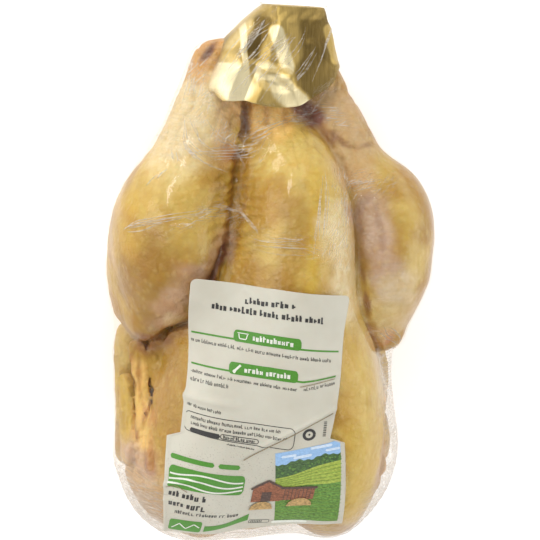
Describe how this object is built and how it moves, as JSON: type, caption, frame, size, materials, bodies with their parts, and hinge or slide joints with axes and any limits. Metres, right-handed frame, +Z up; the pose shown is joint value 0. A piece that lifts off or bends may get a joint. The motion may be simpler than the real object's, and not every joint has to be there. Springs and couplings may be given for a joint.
{
  "type": "whole raw chicken",
  "caption": "Whole raw chicken in tight clear film, breast up, with gold foil round the tied leg ends and a plain die-cut paper label.",
  "frame": {"origin": "under the middle of the pack, on the surface that it rests on", "axes": "+Y along the bird towards the foil-wrapped leg ends, +Z up through the breast, +X to the bird's side"},
  "size_m": [0.1708, 0.2802, 0.1144],
  "materials": {
    "film": "clear tight film over raw yellow chicken skin, glossy",
    "foil": "crumpled gold foil",
    "paper": "uncoated warm white label paper, slightly creased, with plain printed fields"
  },
  "bodies": {
    "root": {"film_bag": "film", "leg_foil": "foil", "label": "paper"}
  },
  "joints": []
}
